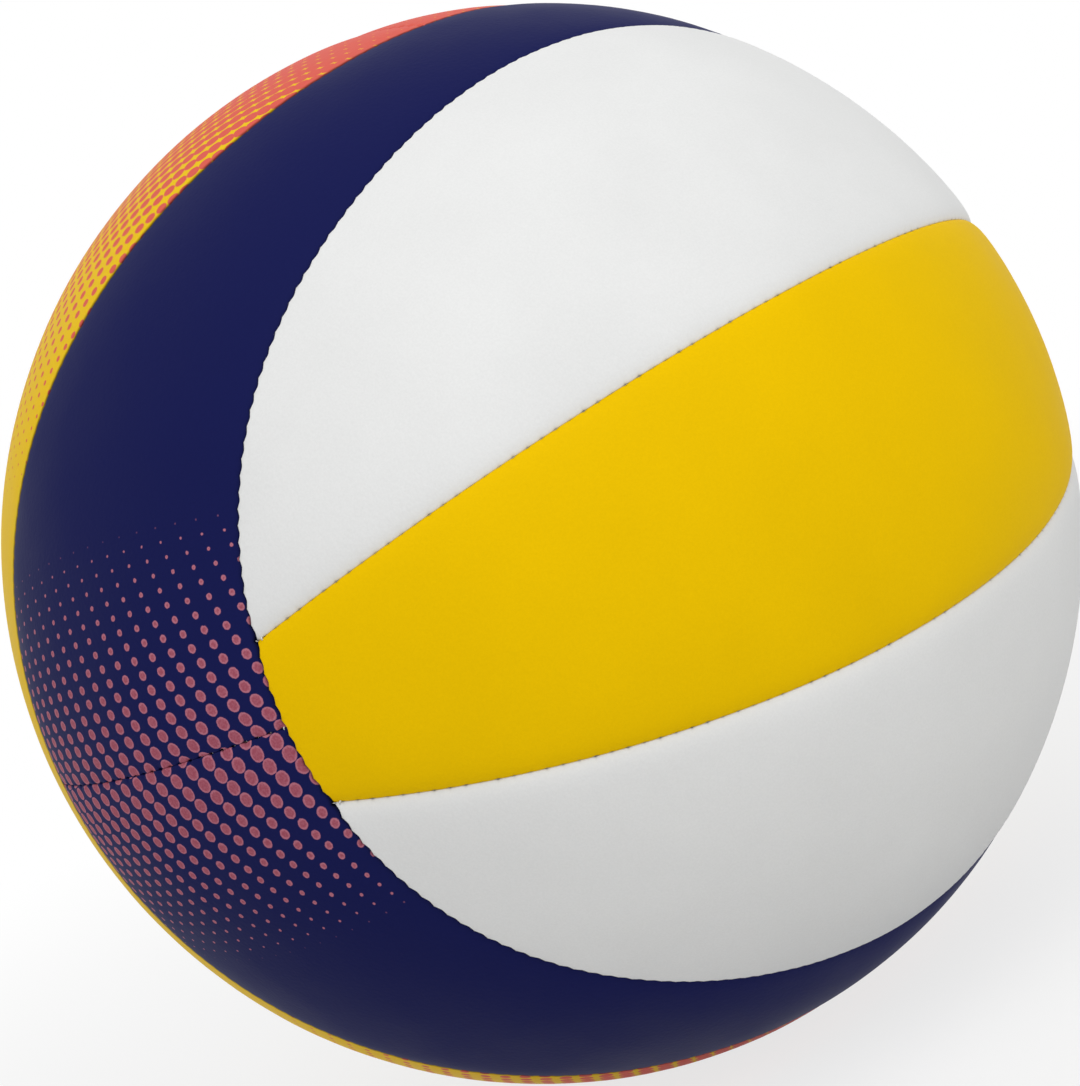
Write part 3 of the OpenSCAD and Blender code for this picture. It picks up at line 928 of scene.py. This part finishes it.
# The seam threads, of twisted polyester: one cord along the bottom of each seam, and a short loop
# across the groove at each needle hole, pulled down into the leather, with a knot where a seam
# ends. A loop or knot is the depth of its top and of its feet, and its thickness.
CORD_D = 0.45 * MM
CORD_DEPTH = 1.7 * MM
CORD_SIDES = 6
CORD_EVERY = 3
CORD_TRIM = 5
LOOP = (1.25 * MM, 1.7 * MM, 0.25 * MM)
STRIP_LOOP = (1.7 * MM, 1.82 * MM, 0.25 * MM)
STRIP_KNOT = (0.85 * MM, 1.55 * MM, 0.36 * MM)
END_KNOT = (0.6 * MM, 1.3 * MM, 0.25 * MM)
KNOT_IN = 0.5
LOOP_HALF = 0.4 * MM
LOOP_SLANT = 0.2 * MM
LOOP_STEPS = 6
LOOP_BEND = 2.2
LOOP_PULL = 0.2 * MM
LOOK_AHEAD = 0.05
THREAD_WHITE = (0.74, 0.74, 0.71, 1)
PLY_SHADE = 0.72


def tube(path, outward, diameter, sides, closed=False):
    """A round cord along a path. outward gives each place's way up."""
    after = np.roll(path, -1, axis=0)
    before = np.roll(path, 1, axis=0)
    if not closed:
        after[-1] = path[-1]
        before[0] = path[0]
    along = unit(after - before)
    aside = unit(np.cross(along, outward))
    up = np.cross(aside, along)
    turns = np.arange(sides) * 2 * math.pi / sides
    rings = path[:, None] + (
        aside[:, None] * np.cos(turns)[None, :, None] + up[:, None] * np.sin(turns)[None, :, None]
    ) * (diameter / 2)
    points = rings.reshape(-1, 3)
    count = len(path)
    faces = []
    for k in range(count if closed else count - 1):
        a = k * sides
        b = (k + 1) % count * sides
        for s in range(sides):
            t = (s + 1) % sides
            faces.append([a + s, a + t, b + t, b + s])
    if not closed:
        faces.append(list(range(sides))[::-1])
        faces.append([(count - 1) * sides + s for s in range(sides)])
    return points, faces


def joined(parts):
    """Several meshes as one."""
    points = []
    faces = []
    start = 0
    for part_points, part_faces in parts:
        points.append(part_points)
        faces += [[start + k for k in face] for face in part_faces]
        start += len(part_points)
    return np.concatenate(points), faces


def seam_thread(curve, steps, lean, mark, closed=False, loop=LOOP, knots=(), knot=None):
    """The thread of one seam, with a knot at each of the places given."""
    values, phases = steps
    line = unit(curve(values))
    cord_line = line[CORD_TRIM:-CORD_TRIM:CORD_EVERY]
    if closed:
        cord_line = line[::CORD_EVERY]
        if np.allclose(cord_line[0], cord_line[-1], atol=SAME_PLACE):
            cord_line = cord_line[:-1]
    parts = [tube(cord_line * (BALL_R - CORD_DEPTH), cord_line, CORD_D, CORD_SIDES, closed)]
    low = math.ceil(phases[0] - 0.5)
    high = math.floor(phases[-1] - 0.5)
    holes = np.arange(low, high + 1) + 0.5
    holes = holes[(holes > phases[0]) & (holes < phases[-1])]
    loops = [(value, loop) for value in np.interp(holes, phases, values)]
    loops += [(value, knot) for value in knots]
    arch = np.linspace(-1, 1, LOOP_STEPS + 1)
    for value, (top, foot, thickness) in loops:
        here = curve(np.array([value]))[0]
        ahead = curve(np.array([value + LOOK_AHEAD]))[0]
        along = unit(ahead - here)
        across = np.cross(here, along)
        force = float(tension(np.interp(value, values, phases), mark))
        side = arch * LOOP_HALF + lean * LEAN * force
        depth = top + (foot - top) * np.abs(arch) ** LOOP_BEND + (force - 1) * LOOP_PULL
        place = here * BALL_R + side[:, None] * across + (arch * LOOP_SLANT)[:, None] * along
        path = unit(place) * (BALL_R - depth)[:, None]
        parts.append(tube(path, np.repeat(here[None], len(path), 0), thickness, CORD_SIDES))
    return joined(parts)


def finish_thread(name, colour):
    """Twisted polyester thread: fine slanting plies along it, with painted shade between them."""
    material, tree, shader = new_material(name)
    plies = texture(tree, "Wave", own_position(tree), scale=900.0, bands_direction="DIAGONAL")
    ply = fill(tree, plies, Distortion=2.0).outputs["Fac"]
    # The darker bands are painted shade in the grooves between the plies.
    dark = tuple(PLY_SHADE * v for v in colour[:3]) + (1,)
    fill(tree, shader, Base_Color=blend(tree, ply, dark, colour), Roughness=0.6)
    raised(tree, shader, ply, strength=0.4, depth=0.04 * MM)
    return material


thread_white = finish_thread("thread white", THREAD_WHITE)
strip_thread = seam_thread(
    strip_curve, STRIP_STEPS, 0, STRIP_MARK,
    loop=STRIP_LOOP, knots=(KNOT_IN - STRIP_HALF, STRIP_HALF - KNOT_IN), knot=STRIP_KNOT,
)
end_thread = seam_thread(
    end_curve, END_STEPS, 0, END_MARK, knots=[end_low + KNOT_IN], knot=END_KNOT
)
cap_thread = seam_thread(cap_curve, CAP_STEPS, -1, CAP_MARK, closed=True)
halves_thread = seam_thread(belt_curve, carried_on(BELT_STEPS), 0, BELT_MARK, closed=True)
THREADS = (
    ("front_strip_upper", strip_thread, same),
    ("front_strip_lower", strip_thread, half_turned),
    ("front_cap", cap_thread, same),
    ("front_end_right", end_thread, same),
    ("front_end_left", end_thread, half_turned),
    ("back_strip_right", strip_thread, to_back),
    ("back_strip_left", strip_thread, back_turned),
    ("back_cap", cap_thread, to_back),
    ("back_end_upper", end_thread, to_back),
    ("back_end_lower", end_thread, back_turned),
    ("halves", halves_thread, same),
)
for name, (points, faces), turned in THREADS:
    name = "thread_" + name
    mesh_object(name + "_stitches", turned(points), faces, thread_white, [name])

# The pieces inside the ball: a sheet of closed-cell foam and a woven cotton lining, glued behind
# each cover, and the moulded butyl bladder with the patch that holds the valve. Nothing shows
# them, so they keep their solids and only get a material.
HOLLOW_SHADE = 0.7
RAISED_SHADE = 1.05
HEIGHT_SPAN = (0.2, 0.8)


def finish_inner(name, pattern, colour, roughness, scale, depth):
    """Foam cells, woven cloth or the skin of moulded rubber, by the pattern."""
    material, tree, shader = new_material(name)
    position = own_position(tree)
    if pattern == "cells":
        height = texture(tree, "Voronoi", position, scale).outputs["Distance"]
    elif pattern == "weave":
        waves = [texture(tree, "Wave", position, scale, bands_direction=way) for way in "XYZ"]
        bands = [wave.outputs["Fac"] for wave in waves]
        height = maths(tree, "MAXIMUM", maths(tree, "MULTIPLY", bands[0], bands[2]), bands[1])
    else:
        height = noise(tree, position, scale, detail=4.0)
    dark = tuple(HOLLOW_SHADE * v for v in colour) + (1,)
    light = tuple(RAISED_SHADE * v for v in colour) + (1,)
    shade = blend(tree, ramp(tree, height, *HEIGHT_SPAN), dark, light)
    fill(tree, shader, Base_Color=shade, Roughness=roughness)
    raised(tree, shader, height, strength=0.5, depth=depth)
    return material


foam = finish_inner(
    "foam backing", "cells", (0.55, 0.56, 0.55), roughness=0.9, scale=1400.0, depth=0.15 * MM
)
cloth = finish_inner(
    "lining cloth", "weave", (0.72, 0.71, 0.67), roughness=0.85, scale=420.0, depth=0.12 * MM
)
rubber = finish_inner(
    "bladder rubber", "skin", (0.030, 0.030, 0.032), roughness=0.55, scale=320.0, depth=0.06 * MM
)
for name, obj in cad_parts.items():
    chosen = {"foam": foam, "lining": cloth}.get(name.split("_")[0])
    if name in ("bladder", "valve_patch"):
        chosen = rubber
    if chosen:
        for holder in obj.material_slots:
            holder.material = chosen

# The valve: a moulded rubber housing whose neck comes out level with the cover at the back, with
# a softer core round the bore for the needle. The housing's flange is glued under the patch,
# inside the bladder.
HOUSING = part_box("valve_housing")
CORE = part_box("valve_core")
NECK_TOP = HOUSING[1][1]
NECK_R = NECK_D / 2
FLANGE_R = HOUSING[1][0]
PATCH_T = 0.8 * MM
LAYER_CLEAR = 0.1 * MM
FLANGE_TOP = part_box("valve_patch")[1][1] - PATCH_T - LAYER_CLEAR
FLANGE_T = 1.0 * MM
FLANGE_AT = (8.0 * MM, 11.0 * MM)
BARREL_R = 5.5 * MM
BARREL_END = HOUSING[0][1]
POCKET_R = 2.8 * MM
POCKET_END = CORE[0][1] - LAYER_CLEAR
CORE_R = CORE[1][0]
CORE_FACE_R = 2.0 * MM
BORE_R = 1.05 * MM
MOUTH_R = 1.7 * MM
MOUTH_BEND = 0.3 * MM
MOUTH_EASE = 0.1 * MM
MOUTH_DROP = 0.12 * MM
LIP_T = 1.5 * MM
EDGE_ROUND = 0.3 * MM
POCKET_ROUND = 0.15 * MM
ROOT_ROUND = 0.6 * MM
BARREL_ROUND = 0.8 * MM
CORE_ROUND = 0.2 * MM
ROUND_ANGLES = (0, 30, 60, 90)


def lathe(profile):
    """Turns a closed profile of (radius, height along +Y) about Y. Radius 0 is one point."""
    points = []
    rings = []
    for radius, height in profile:
        steps = ROUND_STEPS if radius else 1
        rings.append((len(points), steps))
        for k in range(steps):
            turn = 2 * math.pi * k / ROUND_STEPS
            points.append((radius * math.sin(turn), height, radius * math.cos(turn)))
    faces = []
    for (a, a_steps), (b, b_steps) in zip(rings, rings[1:] + rings[:1]):
        for s in range(ROUND_STEPS):
            t = (s + 1) % ROUND_STEPS
            face = [a + s % a_steps, b + s % b_steps, b + t % b_steps, a + t % a_steps]
            face = list(dict.fromkeys(face))
            if len(face) > 2:
                faces.append(face)
    return points, faces


def on_ball(ball_r, radius):
    """A place on a ball, by its distance from the valve's axis."""
    return radius, math.sqrt(ball_r**2 - radius**2)


def rounded(corner, from_way, to_way, size=EDGE_ROUND):
    """A rounded edge in place of a sharp corner: the two ways point along its faces."""
    radius, height = corner
    turns = [math.radians(angle) for angle in ROUND_ANGLES]
    return [
        (
            radius + size * (from_way[0] * (1 - math.sin(t)) + to_way[0] * (1 - math.cos(t))),
            height + size * (from_way[1] * (1 - math.sin(t)) + to_way[1] * (1 - math.cos(t))),
        )
        for t in turns
    ]


OUT, IN, UP, DOWN = (1, 0), (-1, 0), (0, 1), (0, -1)
flange_foot = FLANGE_TOP - FLANGE_T
mouth_foot = NECK_TOP - (MOUTH_R - BORE_R)
core_end = CORE[0][1]
housing_profile = [
    *rounded(on_ball(NECK_TOP, POCKET_R), DOWN, OUT, POCKET_ROUND),
    *rounded(on_ball(NECK_TOP, NECK_R), IN, DOWN),
    *rounded(on_ball(FLANGE_TOP, NECK_R), UP, OUT, ROOT_ROUND),
    *[on_ball(FLANGE_TOP, radius) for radius in FLANGE_AT],
    *rounded(on_ball(FLANGE_TOP, FLANGE_R), IN, DOWN),
    *rounded(on_ball(flange_foot, FLANGE_R), UP, IN),
    *[on_ball(flange_foot, radius) for radius in FLANGE_AT[::-1]],
    *rounded(on_ball(flange_foot, BARREL_R), OUT, DOWN, ROOT_ROUND),
    *rounded((BARREL_R, BARREL_END), UP, IN, BARREL_ROUND),
    *rounded((BORE_R, BARREL_END), OUT, UP),
    (BORE_R, POCKET_END),
    (POCKET_R, POCKET_END),
]
core_profile = [
    on_ball(NECK_TOP, MOUTH_R),
    on_ball(NECK_TOP, CORE_FACE_R),
    *rounded(on_ball(NECK_TOP, CORE_R), IN, DOWN, CORE_ROUND),
    *rounded((CORE_R, core_end), UP, IN, CORE_ROUND),
    (0.0, core_end),
    (0.0, core_end + LIP_T),
    (BORE_R, core_end + LIP_T),
    (BORE_R, mouth_foot - MOUTH_BEND),
    (BORE_R + MOUTH_EASE, mouth_foot),
    (MOUTH_R - MOUTH_EASE, NECK_TOP - MOUTH_DROP),
]
valve_rubber = finish_inner(
    "valve rubber", "skin", (0.032, 0.032, 0.034), roughness=0.5, scale=500.0, depth=0.05 * MM
)
core_rubber = finish_inner(
    "valve core rubber", "skin", (0.055, 0.055, 0.058), roughness=0.6, scale=800.0, depth=0.05 * MM
)
for name, profile, material, slot_name in (
    ("valve_housing", housing_profile, valve_rubber, "valve_rubber"),
    ("valve_core", core_profile, core_rubber, "valve_core_rubber"),
):
    points, faces = lathe(profile)
    mesh_object(name + "_turned", points, faces, material, [name])

# The floor, the light and the camera. The ball rests on its lowest point on a plain pale floor.
# The backdrop is white to the camera and in reflections only, and the floor keeps the shadow.
FLOOR_R = 6.0
FLOOR_SIDES = 64
FLOOR_GREY = (0.72, 0.72, 0.72, 1)
GLOW_SPAN = (0.15, 0.7)
GLOW_SHARES = (0.76, 1.0)
WHITE_LIGHT = (1, 1, 1, 1)


def seen_ray(tree):
    """1 for what the camera sees, itself or in a reflection or through glass."""
    path = node(tree, "ShaderNodeLightPath")
    seen = maths(tree, "MAXIMUM", path.outputs["Is Camera Ray"], path.outputs["Is Glossy Ray"])
    return maths(tree, "MAXIMUM", seen, path.outputs["Is Transmission Ray"])


def mixed(tree, share, first, second, surface):
    """Puts a mix of two shaders on the surface."""
    mix = node(tree, "ShaderNodeMixShader")
    for socket, value in zip(mix.inputs, (share, first.outputs[0], second.outputs[0])):
        feed(tree, socket, value)
    feed(tree, surface, mix.outputs[0])


def finish_floor(name):
    material, tree, shader = new_material(name)
    fill(tree, shader, Base_Color=FLOOR_GREY, Roughness=0.9, Specular_IOR_Level=0.1)
    glow = node(tree, "ShaderNodeEmission")
    away = vector_maths(tree, "LENGTH", node(tree, "ShaderNodeNewGeometry").outputs["Position"])
    glowing = ramp(tree, away, *GLOW_SPAN, *GLOW_SHARES, smooth=True)
    share = maths(tree, "MULTIPLY", seen_ray(tree), glowing)
    mixed(tree, share, shader, glow, tree.nodes["Material Output"].inputs["Surface"])
    return material


floor_data = bpy.data.meshes.new("floor")
floor_z = CAD_BOX[0][2]
floor_turns = [2 * math.pi * k / FLOOR_SIDES for k in range(FLOOR_SIDES)]
floor_edge = [(FLOOR_R * math.cos(t), FLOOR_R * math.sin(t), floor_z) for t in floor_turns]
floor_data.from_pydata(floor_edge, [], [list(range(FLOOR_SIDES))])
floor = bpy.data.objects.new("floor", floor_data)
floor_data.materials.append(finish_floor("floor"))
bpy.context.scene.collection.objects.link(floor)

world = bpy.data.worlds.new("studio")
bpy.context.scene.world = world
world.use_nodes = True
tree = world.node_tree
room = fill(tree, tree.nodes["Background"], Color=WHITE_LIGHT, Strength=0.64)
white_room = fill(tree, node(tree, "ShaderNodeBackground"), Color=WHITE_LIGHT)
mixed(tree, seen_ray(tree), room, white_room, tree.nodes["World Output"].inputs["Surface"])

# The camera stands where the photograph's did, a number of ball radii away.
CAMERA_AWAY = 4.72
CAMERA_WAY = Vector((-0.5976, -0.7947, 0.1067))
CAMERA_RIGHT = Vector((0.6992, -0.5816, -0.4157))
CAMERA_UP = Vector((0.3924, -0.1738, 0.9032))


def aimed(right, up, back, place):
    turn = Matrix((right, up, back)).transposed().to_4x4()
    return Matrix.Translation(place) @ turn


def soft_light(name, right, up, near, away, size, power):
    """A round soft box facing the ball, placed by how far right, up and near the camera it is."""
    data = bpy.data.lights.new(name, "AREA")
    data.shape = "DISK"
    data.size = size
    data.energy = power
    lamp = bpy.data.objects.new(name, data)
    bpy.context.scene.collection.objects.link(lamp)
    back = (CAMERA_RIGHT * right + CAMERA_UP * up + CAMERA_WAY * near).normalized()
    side = Vector((0, 1, 0)).cross(back).normalized()
    lamp.matrix_world = aimed(side, back.cross(side), back, back * away)


soft_light("top soft box", right=-0.25, up=0.68, near=0.78, away=1.1, size=1.0, power=4.3)
soft_light("front soft box", right=0.55, up=0.6, near=0.85, away=1.4, size=1.2, power=2.3)

camera_data = bpy.data.cameras.new("camera")
camera_data.sensor_width = 36.0
camera_data.lens = 82.75
camera_data.clip_start = 0.01
camera_data.shift_x = -0.0018
camera_data.shift_y = 0.0004
camera = bpy.data.objects.new("camera", camera_data)
bpy.context.scene.collection.objects.link(camera)
camera.matrix_world = aimed(CAMERA_RIGHT, CAMERA_UP, CAMERA_WAY, CAMERA_WAY * CAMERA_AWAY * BALL_R)
bpy.context.scene.camera = camera
bpy.context.scene.view_settings.view_transform = "Standard"
